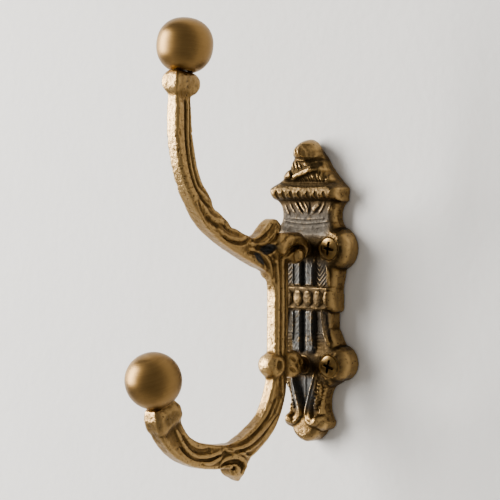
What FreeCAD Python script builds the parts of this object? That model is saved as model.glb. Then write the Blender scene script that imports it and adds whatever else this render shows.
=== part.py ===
"""Cast-brass hat and coat hook for a wall: a relief backplate, one hook casting that carries an upper peg and a
lower hook, a turned ball on each end, and the fasteners that hold them together and to the wall.

Row frame, in millimetres: the wall is the plane Y = 0, the hook comes out of it towards -Y, X is to the right
of someone facing it, and Z is up. The origin is the centre of the four-screw pattern on the plate's back."""

import FreeCAD, Part
import math
import os
import Sketcher

V = FreeCAD.Vector
X_AXIS = V(1, 0, 0)

SIZES = {
    # backplate
    "plate_depth": 7.5,        # wall to front face
    "bevel_deep": 2.2,         # bevel round the front face
    "bevel_wide": 1.4,
    "plate_top": 59.4,
    "plate_bottom": -48.5,
    "lobe_half": 19.4,         # half-width across a pair of screw lobes
    "collar_half": 15.6,
    "neck_half": 12.2,
    "band_half": 12.9,
    "waist_half": 11.0,
    "foot_half": 9.6,
    "recess_deep": 3.6,        # hollows in the back of the casting
    # fixing centres
    "screw_x": 12.0,
    "screw_z": 20.75,
    "screw_hole": 4.4,
    "countersink": 8.1,
    # hook casting
    "bar_wide": 6.0,           # across X
    "bar_deep": 7.0,           # across the bar, in its own plane
    "bar_round": 2.2,
    "spine_reach": 20.3,       # wall to the spine's centreline
    "spine_top": 20.75,
    "spine_run": 43.15,        # straight part of the spine
    "hook_bend": 26.0,         # radius from the spine into the hook's floor
    "hook_floor": 6.65,
    "hook_rise_bend": 40.0,    # the floor starts to rise on this radius
    "hook_tip_bend": 12.0,     # and turns up to the ball on this one
    "hook_tip_run": 2.35,
    "peg_reach": 70.2,         # wall to the top of the peg's bar
    "peg_top": 73.5,
    "peg_bend": 46.5,
    "peg_run": 29.0,           # straight part that runs into the spine
    "boss_reach": 14.0,
    "boss_radius": 6.0,
    "boss_wide": 9.0,
    "foot_radius": 4.6,        # seat of each boss on the plate
    "knuckle_reach": 23.6,
    "knuckle_radius": 4.9,
    "leaf_wide": 5.0,
    "drop_wide": 6.0,
    "collar_wide": 8.6,
    "peg_collar_deep": 10.6,
    "hook_collar_deep": 11.2,
    "collar_long": 7.6,
    "collar_bevel": 1.5,
    # balls and the studs inside them
    "ball_radius": 9.5,
    "peg_ball_half_high": 9.15,
    "hook_ball_half_high": 9.4,
    "ball_neck": 4.2,
    "ball_neck_long": 0.3,
    "stud_radius": 1.95,
    "stud_hole": 2.0,
    "stud_in_ball": 8.0,
    "stud_in_arm": 5.5,
    "hole_spare": 0.4,         # left empty past a stud's end
    # bolts from the back of the plate into the bosses
    "bolt_radius": 1.95,
    "bolt_tapped": 2.0,
    "bolt_hole": 4.3,
    "bolt_head": 3.7,
    "bolt_head_high": 2.3,
    "bolt_long": 12.0,         # under the head
    "bolt_tapped_deep": 8.6,
    "counterbore": 9.0,
    "counterbore_deep": 3.8,
    "washer_thick": 0.9,
    "washer_outer": 3.6,
    "washer_inner": 2.05,
    "washer_gap": 0.7,
    # wood screws
    "shank_radius": 2.0,
    "shank_neck": 1.75,        # the shank where it passes through the plate
    "head_radius": 4.0,
    "head_dome": 1.1,
    "shank_plain": 13.0,       # from the head's rim to the first thread
    "thread_pitch": 1.9,
    "thread_count": 8,
    "thread_root": 1.35,
    "screw_point": 4.0,
    "cross_long": 4.4,
    "cross_wide": 1.0,
    "cross_deep": 1.9,
}

doc = FreeCAD.newDocument("wall_hook")
sheet = doc.addObject("Spreadsheet::Sheet", "Sizes")
for row, (alias, number) in enumerate(SIZES.items(), start=1):
    sheet.set(f"A{row}", alias)
    sheet.set(f"B{row}", str(number))
    sheet.setAlias(f"B{row}", alias)
doc.recompute()

BOSS_TOP = "Sizes.screw_z"
BOSS_BOTTOM = "-Sizes.screw_z"


# ---------------------------------------------------------------- sketches
def body_named(label):
    body = doc.addObject("PartDesign::Body", label)
    body.Label = label
    return body


def origin_plane(body, role):
    return next(f for f in body.Origin.OriginFeatures if f.Role == role)


def sketch_on(body, name, role, offset=None):
    """A sketch on one of the body's own origin planes, moved by an offset within that plane's frame."""
    sketch = body.newObject("Sketcher::SketchObject", name)
    sketch.AttachmentSupport = [(origin_plane(body, role), "")]
    sketch.MapMode = "FlatFace"
    if offset is not None:
        sketch.AttachmentOffset = offset
    return sketch


def number(sketch, expression):
    return float(sketch.evalExpression(str(expression)))


def bind(sketch, kind, where, expression):
    """Adds a dimension and binds it to an expression over the sheet."""
    value = number(sketch, expression)
    if kind in ("Radius", "Distance"):
        value = abs(value)
    index = sketch.addConstraint(Sketcher.Constraint(kind, *where, value))
    sketch.setExpression(f"Constraints[{index}]", str(expression))


def pin(sketch, geometry, end, point):
    bind(sketch, "DistanceX", (geometry, end), point[0])
    bind(sketch, "DistanceY", (geometry, end), point[1])


def add_arc(sketch, a, middle, b):
    """Adds an arc from a through middle to b, always stored anticlockwise; returns it and which end b is."""
    anticlockwise = (middle - a).cross(b - middle).z > 0
    first, last = (a, b) if anticlockwise else (b, a)
    geometry = sketch.addGeometry(Part.Arc(first, middle, last))
    return geometry, 2 if anticlockwise else 1


def outline(sketch, corners):
    """A closed outline. Each corner is (point, via): a line runs to the point, or an arc through via."""
    start = corners[-1][0]
    for point, via in corners:
        a = V(number(sketch, start[0]), number(sketch, start[1]), 0)
        b = V(number(sketch, point[0]), number(sketch, point[1]), 0)
        if via is None:
            geometry = sketch.addGeometry(Part.LineSegment(a, b))
            pin(sketch, geometry, 2, point)
        else:
            middle = V(number(sketch, via[0]), number(sketch, via[1]), 0)
            geometry, end = add_arc(sketch, a, middle, b)
            pin(sketch, geometry, end, point)
        start = point


def circle(sketch, point, radius):
    centre = V(number(sketch, point[0]), number(sketch, point[1]), 0)
    geometry = sketch.addGeometry(Part.Circle(centre, V(0, 0, 1), number(sketch, radius)))
    bind(sketch, "Radius", (geometry,), radius)
    pin(sketch, geometry, 3, point)


def mirrored(right_side):
    """Closes a right-hand half outline, given from the lowest point up, with its mirror image."""
    left_side = []
    for k in range(len(right_side) - 1, 0, -1):
        (x, z), _ = right_side[k - 1]
        via = right_side[k][1]
        flipped = None if via is None else (f"-({via[0]})", via[1])
        left_side.append(((f"-({x})", z), flipped))
    return right_side[1:] + left_side


def drawn_in(sketch, right_side, distance):
    """A right-hand half outline moved inwards, each corner along the line that halves its angle."""
    spots = [V(number(sketch, x), number(sketch, z), 0) for (x, z), _ in right_side]
    first, last = spots[0], spots[-1]
    spots = [V(-spots[1].x, spots[1].y, 0)] + spots + [V(-spots[-2].x, spots[-2].y, 0)]

    def moved(point, inward):
        x = 0 if abs(inward.x) < 1e-6 else f"({point[0]}) + {inward.x:.4f}*{distance}"
        return (x, f"({point[1]}) + {inward.y:.4f}*{distance}")

    result = []
    for k, (point, via) in enumerate(right_side, start=1):
        before = (spots[k] - spots[k - 1]).normalize()
        after = (spots[k + 1] - spots[k]).normalize()
        bisector = V(-before.y - after.y, before.x + after.x, 0)
        if spots[k] in (first, last):
            bisector = V(0, bisector.y, 0)
        new_via = None if via is None else moved(via, V(-before.y, before.x, 0))
        result.append((moved(point, bisector.normalize()), new_via))
    return result


def rounded_rectangle(sketch, wide, deep, corner):
    """A rectangle about the sketch's origin with rounded corners."""
    half_wide, half_deep = f"({wide})/2", f"({deep})/2"
    cut = 1 - math.sqrt(0.5)
    corners = []
    for sx, sy in ((1, 1), (-1, 1), (-1, -1), (1, -1)):
        side = (f"{sx}*({half_wide})", f"{sy}*({half_deep} - {corner})")
        end = (f"{sx}*({half_wide} - {corner})", f"{sy}*({half_deep})")
        via = (f"{sx}*({half_wide} - {cut}*{corner})", f"{sy}*({half_deep} - {cut}*{corner})")
        first, last = (side, end) if sx * sy > 0 else (end, side)
        corners += [(first, None), (last, via)]
    outline(sketch, corners)


def walk(start, heading, steps):
    """Follows straight runs (length,) and tangent bends (radius, turn in degrees); returns places and headings."""
    y, z = start
    places = [(y, z, heading)]
    for step in steps:
        angle = math.radians(heading)
        if len(step) == 1:
            y += step[0] * math.cos(angle)
            z += step[0] * math.sin(angle)
        else:
            radius, turn = step
            side = math.copysign(1, turn)
            cy, cz = y - side * radius * math.sin(angle), z + side * radius * math.cos(angle)
            heading += turn
            angle = math.radians(heading)
            y, z = cy + side * radius * math.sin(angle), cz - side * radius * math.cos(angle)
        places.append((y, z, heading))
    return places


def draw_path(sketch, start, heading, steps, radii):
    """Draws the centreline that walk() follows, with its bend radii bound to the sheet."""
    places = walk(start, heading, steps)
    bends = iter(radii)
    for step, (ay, az, before), (by, bz, after) in zip(steps, places, places[1:]):
        a, b = V(ay, az, 0), V(by, bz, 0)
        if len(step) == 1:
            sketch.addGeometry(Part.LineSegment(a, b))
            continue
        radius, turn = step
        middle = walk((ay, az), before, [(radius, turn / 2)])[-1]
        geometry, end = add_arc(sketch, a, V(middle[0], middle[1], 0), b)
        bind(sketch, "Radius", (geometry,), next(bends))
    return places


# ---------------------------------------------------------------- features
def padded(body, name, sketch, length, both_ways=False, reverse=False):
    pad = body.newObject("PartDesign::Pad", name)
    pad.Profile = sketch
    pad.setExpression("Length", length)
    pad.SideType = "Symmetric" if both_ways else "One side"
    pad.Reversed = reverse
    return pad


def pocketed(body, name, sketch, length, reverse=False):
    pocket = body.newObject("PartDesign::Pocket", name)
    pocket.Profile = sketch
    pocket.setExpression("Length", length)
    pocket.Reversed = reverse
    doc.recompute()
    before = pocket.BaseFeature.Shape.Volume
    if pocket.Shape.Volume > before - 0.01:
        raise RuntimeError(f"{name} cuts nothing")
    return pocket


def revolved(body, name, sketch):
    """Turns a half-profile, drawn on the body's XZ plane, about its own Z axis."""
    turned = body.newObject("PartDesign::Revolution", name)
    turned.Profile = sketch
    turned.ReferenceAxis = (sketch, ["V_Axis"])
    turned.Angle = 360
    return turned


def swept(body, name, profile, spine):
    pipe = body.newObject("PartDesign::AdditivePipe", name)
    pipe.Profile = profile
    pipe.Spine = spine
    pipe.Mode = "Standard"
    return pipe


def facing(place):
    """A placement whose Z axis runs along a (y, z, heading) place in the plane X = 0."""
    y, z, heading = place
    return FreeCAD.Placement(V(0, y, z), FreeCAD.Rotation(X_AXIS, heading - 90))


def beyond(place, distance):
    y, z, heading = place
    angle = math.radians(heading)
    return (y + distance * math.cos(angle), z + distance * math.sin(angle), heading)


def off_the_wall(distance):
    """Offset of an XZ-plane sketch out from the wall; its normal is -Y."""
    return FreeCAD.Placement(V(0, 0, distance), FreeCAD.Rotation())


# ---------------------------------------------------------------- centrelines of the hook casting
def size(alias):
    return float(sheet.get(alias))


HOOK_STEPS = [
    (size("spine_run"),),
    (size("hook_bend"), -90),
    (size("hook_floor"),),
    (size("hook_rise_bend"), -25),
    (size("hook_tip_bend"), -43),
    (size("hook_tip_run"),),
]
HOOK_BENDS = ["Sizes.hook_bend", "Sizes.hook_rise_bend", "Sizes.hook_tip_bend"]
HOOK_START = (-size("spine_reach"), size("spine_top"))
HOOK_END = walk(HOOK_START, -90, HOOK_STEPS)[-1]

PEG_LEAN = 8.4  # degrees that the top of the peg leans back to the wall
PEG_STEPS = [(size("peg_bend"), 70), (size("peg_run"),)]
PEG_START = (-size("peg_reach"), size("peg_top"))
PEG_END = (*PEG_START, 90 - PEG_LEAN)


# ---------------------------------------------------------------- backplate
PLATE_RIGHT_SIDE = [
    ((0, "Sizes.plate_bottom"), None),
    ((6.0, -44.2), (3.3, -47.3)),
    (("Sizes.foot_half", -41.0), (8.4, -43.3)),
    ((9.4, -28.6), (7.4, -35.0)),
    ((13.6, -26.2), None),
    ((14.2, -13.4), ("Sizes.lobe_half", "-Sizes.screw_z")),
    (("Sizes.waist_half", -7.6), None),
    (("Sizes.waist_half", -2.0), None),
    (("Sizes.band_half", -0.6), (12.4, -1.6)),
    (("Sizes.band_half", 6.6), None),
    ((14.2, 13.4), None),
    ((13.8, 28.2), ("Sizes.lobe_half", "Sizes.screw_z")),
    ((15.2, 37.6), ("Sizes.neck_half", 32.2)),
    (("Sizes.collar_half", 42.0), None),
    ((7.8, 49.8), (11.2, 46.0)),
    ((4.9, 55.0), (6.2, 52.5)),
    ((0, "Sizes.plate_top"), (3.1, 58.1)),
]


def make_backplate():
    body = body_named("backplate")
    face = sketch_on(body, "plate_outline", "XZ_Plane")
    outline(face, mirrored(PLATE_RIGHT_SIDE))
    padded(body, "plate_casting", face, "Sizes.plate_depth - Sizes.bevel_deep")
    rim = sketch_on(body, "bevel_rim", "XZ_Plane", off_the_wall(size("plate_depth") - size("bevel_deep")))
    outline(rim, mirrored(PLATE_RIGHT_SIDE))
    crown = sketch_on(body, "crown_outline", "XZ_Plane", off_the_wall(size("plate_depth")))
    outline(crown, mirrored(drawn_in(crown, PLATE_RIGHT_SIDE, "Sizes.bevel_wide")))
    bevel = body.newObject("PartDesign::AdditiveLoft", "front_bevel")
    bevel.Profile = rim
    bevel.Sections = [crown]
    bevel.Ruled = True
    doc.recompute()

    screws = sketch_on(body, "wall_screw_centres", "XZ_Plane", off_the_wall(size("plate_depth")))
    for sx in (-1, 1):
        for sz in (-1, 1):
            circle(screws, (f"{sx}*Sizes.screw_x", f"{sz}*Sizes.screw_z"), "Sizes.screw_hole/2")
    doc.recompute()
    holes = body.newObject("PartDesign::Hole", "wall_screw_holes")
    holes.Profile = screws
    holes.DepthType = "ThroughAll"
    holes.HoleCutType = "Countersink"
    holes.HoleCutCustomValues = True
    holes.HoleCutCountersinkAngle = 90
    holes.setExpression("Diameter", "Sizes.screw_hole")
    holes.setExpression("HoleCutDiameter", "Sizes.countersink")
    doc.recompute()

    bolts = sketch_on(body, "arm_bolt_centres", "XZ_Plane")
    for z in (BOSS_TOP, BOSS_BOTTOM):
        circle(bolts, (0, z), "Sizes.bolt_hole/2")
    pocketed(body, "arm_bolt_holes", bolts, "Sizes.plate_depth", reverse=True)
    bores = sketch_on(body, "counterbore_centres", "XZ_Plane")
    for z in (BOSS_TOP, BOSS_BOTTOM):
        circle(bores, (0, z), "Sizes.counterbore/2")
    pocketed(body, "counterbores", bores, "Sizes.counterbore_deep", reverse=True)

    hollows = sketch_on(body, "back_hollows", "XZ_Plane")
    for right_side in (
        [(8.4, 29.0), (10.6, 37.0), (10.6, 40.6), (4.6, 46.0), (2.6, 53.0)],
        [(7.4, -12.0), (7.4, 12.0)],
        [(4.8, -40.6), (4.2, -35.0), (5.0, -29.4)],
    ):
        left_side = [(-x, z) for x, z in reversed(right_side)]
        outline(hollows, [(point, None) for point in right_side + left_side])
    pocketed(body, "back_recesses", hollows, "Sizes.recess_deep", reverse=True)
    return body


# ---------------------------------------------------------------- hook casting
def make_hook_arm():
    body = body_named("hook_arm")
    spine_profile = sketch_on(body, "spine_section", "XY_Plane", facing((*HOOK_START, 90)))
    rounded_rectangle(spine_profile, "Sizes.bar_wide", "Sizes.bar_deep", "Sizes.bar_round")
    spine_path = sketch_on(body, "spine_and_hook_path", "YZ_Plane")
    draw_path(spine_path, HOOK_START, -90, HOOK_STEPS, HOOK_BENDS)
    swept(body, "spine_and_hook", spine_profile, spine_path)

    peg_profile = sketch_on(body, "peg_section", "XY_Plane", facing(PEG_END))
    rounded_rectangle(peg_profile, "Sizes.bar_wide", "Sizes.bar_deep", "Sizes.bar_round")
    peg_path = sketch_on(body, "peg_path", "YZ_Plane")
    draw_path(peg_path, PEG_START, -90 - PEG_LEAN, PEG_STEPS, ["Sizes.peg_bend"])
    swept(body, "peg", peg_profile, peg_path)

    for name, z in (("upper_boss", BOSS_TOP), ("lower_boss", BOSS_BOTTOM)):
        round_boss = sketch_on(body, f"{name}_outline", "YZ_Plane")
        circle(round_boss, ("-Sizes.boss_reach", z), "Sizes.boss_radius")
        padded(body, name, round_boss, "Sizes.boss_wide", both_ways=True)
        seat = sketch_on(body, f"{name}_seat", "XZ_Plane", off_the_wall(size("plate_depth")))
        circle(seat, (0, z), "Sizes.foot_radius")
        padded(body, f"{name}_foot", seat, "Sizes.boss_reach - Sizes.plate_depth")

    knuckle = sketch_on(body, "knuckle_outline", "YZ_Plane")
    circle(knuckle, ("-Sizes.knuckle_reach", BOSS_BOTTOM), "Sizes.knuckle_radius")
    padded(body, "knuckle", knuckle, "Sizes.bar_wide", both_ways=True)

    leaf = sketch_on(body, "leaf_outline", "YZ_Plane")
    outline(leaf, [
        ((-36.0, 24.6), None),
        ((-26.4, 32.0), (-32.6, 27.0)),
        ((-19.4, 27.4), (-22.6, 30.2)),
        ((-18.6, 14.0), None),
        ((-22.0, 10.0), None),
        ((-40.0, 22.0), (-29.0, 15.4)),
    ])
    padded(body, "crotch_leaf", leaf, "Sizes.leaf_wide", both_ways=True)

    drop = sketch_on(body, "drop_outline", "YZ_Plane")
    outline(drop, [
        ((-50.0, -49.0), None),
        ((-41.0, -58.6), (-47.2, -55.4)),
        ((-38.6, -58.4), None),
        ((-34.0, -48.0), (-37.0, -52.0)),
    ])
    padded(body, "drop", drop, "Sizes.drop_wide", both_ways=True)

    for name, place, deep in (
        ("peg_collar", PEG_END, "Sizes.peg_collar_deep"),
        ("hook_collar", HOOK_END, "Sizes.hook_collar_deep"),
    ):
        section = sketch_on(body, f"{name}_section", "XY_Plane", facing(place))
        rounded_rectangle(section, "Sizes.collar_wide", deep, "Sizes.bar_round")
        pad = padded(body, name, section, "Sizes.collar_long")
        doc.recompute()
        near = V(0, *place[:2])
        far = V(0, *beyond(place, size("collar_long"))[:2])
        along = (far - near).normalize()
        ends = []
        for i, edge in enumerate(pad.Shape.Edges, start=1):
            heights = [(vertex.Point - far).dot(along) for vertex in edge.Vertexes]
            beside = (edge.CenterOfMass - far).Length < size("peg_collar_deep")
            if beside and all(abs(height) < 0.01 for height in heights):
                ends.append(f"Edge{i}")
        bevel = body.newObject("PartDesign::Chamfer", f"{name}_bevel")
        bevel.Base = (pad, ends)
        bevel.setExpression("Size", "Sizes.collar_bevel")
        doc.recompute()
        top = sketch_on(body, f"{name}_stud_centre", "XY_Plane", facing(beyond(place, size("collar_long"))))
        circle(top, (0, 0), "Sizes.stud_hole")
        pocketed(body, f"{name}_stud_hole", top, "Sizes.stud_in_arm + Sizes.hole_spare")

    tapped = sketch_on(body, "bolt_centres", "XZ_Plane", off_the_wall(size("plate_depth")))
    for z in (BOSS_TOP, BOSS_BOTTOM):
        circle(tapped, (0, z), "Sizes.bolt_tapped")
    pocketed(body, "bolt_holes", tapped, "Sizes.bolt_tapped_deep", reverse=True)
    return body


# ---------------------------------------------------------------- turned and bought-in pieces
def make_ball(label, half_high, seat):
    """A turned ball on a short neck, with a small flat on top and a blind hole for the stud."""
    body = body_named(label)
    section = sketch_on(body, f"{label}_section", "XZ_Plane")
    centre = "(Sizes.ball_neck_long + sqrt(Sizes.ball_radius^2 - Sizes.ball_neck^2))"
    top = f"({centre} + Sizes.{half_high})"
    flat = f"sqrt(Sizes.ball_radius^2 - Sizes.{half_high}^2)"
    deep = "(Sizes.stud_in_ball + Sizes.hole_spare)"
    outline(section, [
        ((0, deep), None),
        (("Sizes.stud_hole", deep), None),
        (("Sizes.stud_hole", 0), None),
        (("Sizes.ball_neck", 0), None),
        (("Sizes.ball_neck", "Sizes.ball_neck_long"), None),
        ((flat, top), ("Sizes.ball_radius", centre)),
        ((0, top), None),
    ])
    revolved(body, label + "_turned", section)
    body.Placement = facing(seat)
    return body


def make_stud(label, seat):
    """A headless threaded stud, half in the casting and half in the ball."""
    body = body_named(label)
    section = sketch_on(body, f"{label}_section", "XZ_Plane")
    bevel = 0.5
    outline(section, [
        ((0, "-Sizes.stud_in_arm"), None),
        ((f"Sizes.stud_radius - {bevel}", "-Sizes.stud_in_arm"), None),
        (("Sizes.stud_radius", f"-Sizes.stud_in_arm + {bevel}"), None),
        (("Sizes.stud_radius", f"Sizes.stud_in_ball - {bevel}"), None),
        ((f"Sizes.stud_radius - {bevel}", "Sizes.stud_in_ball"), None),
        ((0, "Sizes.stud_in_ball"), None),
    ])
    revolved(body, label + "_turned", section)
    body.Placement = facing(seat)
    return body


def make_arm_bolt(label, z):
    """A pan-head machine screw that comes through the plate from behind into a boss."""
    body = body_named(label)
    section = sketch_on(body, f"{label}_section", "XZ_Plane")
    bevel = 0.5
    outline(section, [
        ((0, "-Sizes.bolt_head_high"), None),
        ((f"Sizes.bolt_head - {bevel}", "-Sizes.bolt_head_high"), None),
        (("Sizes.bolt_head", f"-Sizes.bolt_head_high + {bevel}"), None),
        (("Sizes.bolt_head", 0), None),
        (("Sizes.bolt_radius", 0), None),
        (("Sizes.bolt_radius", f"Sizes.bolt_long - {bevel}"), None),
        ((f"Sizes.bolt_radius - {bevel}", "Sizes.bolt_long"), None),
        ((0, "Sizes.bolt_long"), None),
    ])
    revolved(body, label + "_turned", section)
    slot_wide, slot_deep = 1.0, 1.2
    top = FreeCAD.Placement(V(0, 0, -size("bolt_head_high")), FreeCAD.Rotation())
    slot = sketch_on(body, f"{label}_slot", "XY_Plane", top)
    outline(slot, [
        ((5, slot_wide / 2), None),
        ((-5, slot_wide / 2), None),
        ((-5, -slot_wide / 2), None),
        ((5, -slot_wide / 2), None),
    ])
    pocketed(body, label + "_driver_slot", slot, str(slot_deep), reverse=True)
    head_seat = size("counterbore_deep") - size("washer_thick")
    body.Placement = FreeCAD.Placement(V(0, -head_seat, z), FreeCAD.Rotation(X_AXIS, 90))
    return body


def make_washer(label, z):
    """A split spring washer under the bolt's head."""
    body = body_named(label)
    ring = sketch_on(body, f"{label}_ring", "XY_Plane")
    circle(ring, (0, 0), "Sizes.washer_outer")
    circle(ring, (0, 0), "Sizes.washer_inner")
    padded(body, label + "_blank", ring, "Sizes.washer_thick")
    split = sketch_on(body, f"{label}_split", "XY_Plane")
    outline(split, [
        ((5, "Sizes.washer_gap/2"), None),
        ((0, "Sizes.washer_gap/2"), None),
        ((0, "-Sizes.washer_gap/2"), None),
        ((5, "-Sizes.washer_gap/2"), None),
    ])
    pocketed(body, label + "_gap", split, "Sizes.washer_thick", reverse=True)
    head_seat = size("counterbore_deep") - size("washer_thick")
    body.Placement = FreeCAD.Placement(V(0, -head_seat, z), FreeCAD.Rotation(X_AXIS, 90))
    return body


def make_wall_screw(label, x, z):
    """A raised countersunk wood screw with a cross recess. Its thread is a row of closed ridges."""
    body = body_named(label)
    section = sketch_on(body, f"{label}_section", "XZ_Plane")
    head, dome = size("head_radius"), size("head_dome")
    crown = (head ** 2 + dome ** 2) / (2 * dome)
    middle = math.asin(head / crown) / 2
    over = (crown * math.sin(middle), dome - crown + crown * math.cos(middle))
    threaded_end = "(Sizes.shank_plain + Sizes.thread_count*Sizes.thread_pitch)"
    corners = [
        ((0, "Sizes.head_dome"), over),
        ((0, f"-({threaded_end} + Sizes.screw_point)"), None),
    ]
    for turn in range(int(size("thread_count")), 0, -1):
        low = f"-(Sizes.shank_plain + {turn}*Sizes.thread_pitch)"
        crest = f"-(Sizes.shank_plain + {turn - 0.5}*Sizes.thread_pitch)"
        corners += [(("Sizes.thread_root", low), None), (("Sizes.shank_radius", crest), None)]
    corners += [
        (("Sizes.thread_root", "-Sizes.shank_plain"), None),
        (("Sizes.shank_radius", "-Sizes.shank_plain + 1"), None),
        (("Sizes.shank_radius", "-Sizes.plate_depth"), None),
        (("Sizes.shank_neck", "-Sizes.plate_depth"), None),
        (("Sizes.shank_neck", "-(Sizes.head_radius - Sizes.shank_neck)"), None),
        (("Sizes.head_radius", 0), None),
    ]
    outline(section, corners)
    revolved(body, label + "_turned", section)
    recess = sketch_on(body, f"{label}_cross", "XY_Plane",
                       FreeCAD.Placement(V(0, 0, size("head_dome")), FreeCAD.Rotation()))
    arm, half = "Sizes.cross_long/2", "Sizes.cross_wide/2"
    outline(recess, [
        ((arm, half), None), ((half, half), None), ((half, arm), None), ((f"-{half}", arm), None),
        ((f"-{half}", half), None), ((f"-{arm}", half), None), ((f"-{arm}", f"-{half}"), None),
        ((f"-{half}", f"-{half}"), None), ((f"-{half}", f"-{arm}"), None), ((half, f"-{arm}"), None),
        ((half, f"-{half}"), None), ((arm, f"-{half}"), None),
    ])
    pocketed(body, label + "_cross_recess", recess, "Sizes.cross_deep + Sizes.head_dome")
    body.Placement = FreeCAD.Placement(V(x, -size("plate_depth"), z), FreeCAD.Rotation(X_AXIS, 90))
    return body


# ---------------------------------------------------------------- assembly
pieces = [make_backplate(), make_hook_arm()]
peg_seat = beyond(PEG_END, size("collar_long"))
hook_seat = beyond(HOOK_END, size("collar_long"))
pieces += [
    make_ball("upper_ball", "peg_ball_half_high", peg_seat),
    make_ball("lower_ball", "hook_ball_half_high", hook_seat),
    make_stud("upper_ball_stud", peg_seat),
    make_stud("lower_ball_stud", hook_seat),
]
for level, z in (("upper", size("screw_z")), ("lower", -size("screw_z"))):
    pieces += [make_arm_bolt(f"arm_bolt_{level}", z), make_washer(f"spring_washer_{level}", z)]
    for side, x in (("left", -size("screw_x")), ("right", size("screw_x"))):
        pieces.append(make_wall_screw(f"wall_screw_{level}_{side}", x, z))
doc.recompute()

for item in doc.Objects:
    if "Invalid" in item.State or "Error" in item.State:
        raise RuntimeError(f"{item.Label} did not build: {item.State}")
os.makedirs("parts", exist_ok=True)
for piece in pieces:
    shape = piece.Shape
    if shape.isNull() or not shape.isValid() or not shape.Solids:
        raise RuntimeError(f"{piece.Label} has no valid solid")
    shape.exportStep(f"parts/{piece.Label}.step")
    box = shape.BoundBox
    print(f"{piece.Label}: {shape.Volume:.1f} mm3, {box.XLength:.1f} x {box.YLength:.1f} x {box.ZLength:.1f} mm")
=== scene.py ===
"""Looks for the cast-brass double wall hook: detailed castings, turned balls and wood screws.

Lengths are millimetres until a mesh is made, and metres from then on. In the plane of the hook a point is
(reach, z), where reach is the distance out from the wall, so Y = -reach."""

import math

import bpy
import numpy as np
import openvdb
from mathutils import Matrix, Vector


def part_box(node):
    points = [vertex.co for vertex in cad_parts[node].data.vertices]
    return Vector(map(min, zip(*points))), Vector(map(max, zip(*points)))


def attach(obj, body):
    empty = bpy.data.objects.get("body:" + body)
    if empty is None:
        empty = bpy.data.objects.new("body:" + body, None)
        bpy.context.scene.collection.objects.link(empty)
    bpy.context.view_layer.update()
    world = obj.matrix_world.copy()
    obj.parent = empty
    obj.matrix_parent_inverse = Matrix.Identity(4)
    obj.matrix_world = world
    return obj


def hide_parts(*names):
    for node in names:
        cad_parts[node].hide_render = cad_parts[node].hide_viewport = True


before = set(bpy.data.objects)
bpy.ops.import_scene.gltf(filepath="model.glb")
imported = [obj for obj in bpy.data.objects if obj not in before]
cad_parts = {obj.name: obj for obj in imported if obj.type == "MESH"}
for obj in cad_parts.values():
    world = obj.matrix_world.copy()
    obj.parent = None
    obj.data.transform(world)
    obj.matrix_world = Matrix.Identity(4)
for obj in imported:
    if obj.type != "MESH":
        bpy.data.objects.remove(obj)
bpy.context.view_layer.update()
scene = bpy.context.scene

MM = 0.001
SEED = 7
GRID = 0.25              # sample spacing of the castings
SCREW_GRID = 0.16
MOST_TRIANGLES = 190000


# ---- fields
class Field:
    """A box of sample points whose values are about the distance to a surface, negative inside."""

    def __init__(self, low, high, step):
        self.low, self.step = np.array(low, float), step
        counts = np.ceil((np.array(high, float) - self.low) / step).astype(int) + 1
        axes = [(lo + step * np.arange(n)).astype(np.float32) for lo, n in zip(low, counts)]
        self.a = axes[0][:, None, None]
        self.b = axes[1][None, :, None]
        self.c = axes[2][None, None, :]


def plane(u, v):
    """Flat grids of two of a field's three axes."""
    return np.meshgrid(u.ravel(), v.ravel(), indexing="ij")


def blank(like, value=0.0):
    return np.full(like.shape, value, np.float32)


def smooth_max(a, b, k):
    h = np.maximum(k - np.abs(a - b), 0) / k
    return np.maximum(a, b) + h * h * k / 4


def smooth_min(a, b, k):
    return -smooth_max(-a, -b, k)


def ease(t):
    return t * t * (3 - 2 * t)


def ramp(low, high, value):
    """Eases from 0 at low to 1 at high."""
    return ease(np.clip((value - low) / (high - low), 0, 1))


def round_corner(a, b, radius):
    """The inside of both a and b, with a round edge of that radius where they meet."""
    outer = np.hypot(np.maximum(a + radius, 0), np.maximum(b + radius, 0))
    return np.minimum(np.maximum(a, b), -radius) + outer


def curve(points, per_span=6):
    """A smooth line through given points. Further columns, such as a radius, blend along it too."""
    p = np.array(points, float)
    p = np.vstack([2 * p[0] - p[1], p, 2 * p[-1] - p[-2]])
    rows = []
    for a, b, c, d in zip(p, p[1:], p[2:], p[3:]):
        for s in np.arange(per_span) / per_span:
            bend = 2 * a - 5 * b + 4 * c - d + s * (3 * b - a - 3 * c + d)
            rows.append(b + 0.5 * s * (c - a + s * bend))
    rows.append(p[-2])
    return np.array(rows)


def window(u, v, line, margin):
    """The part of a flat grid near a line, as a pair of slices."""
    low, high = line[:, :2].min(0) - margin, line[:, :2].max(0) + margin
    rows = np.where((u[:, 0] >= low[0]) & (u[:, 0] <= high[0]))[0]
    cols = np.where((v[0] >= low[1]) & (v[0] <= high[1]))[0]
    if len(rows) == 0 or len(cols) == 0:
        return None
    return slice(rows[0], rows[-1] + 1), slice(cols[0], cols[-1] + 1)


def along(u, v, line):
    """Distance from each sample to a line, and how far along the line its nearest point lies."""
    best = blank(u, 1e9)
    place = blank(u)
    run = 0.0
    for (ax, ay), (bx, by) in zip(line[:, :2], line[1:, :2]):
        dx, dy = bx - ax, by - ay
        length = math.hypot(dx, dy) or 1e-6
        t = np.clip(((u - ax) * dx + (v - ay) * dy) / length ** 2, 0, 1)
        d = np.hypot(u - ax - t * dx, v - ay - t * dy)
        nearer = d < best
        best = np.where(nearer, d, best)
        place = np.where(nearer, run + t * length, place)
        run += length
    return best, place, run


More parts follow.
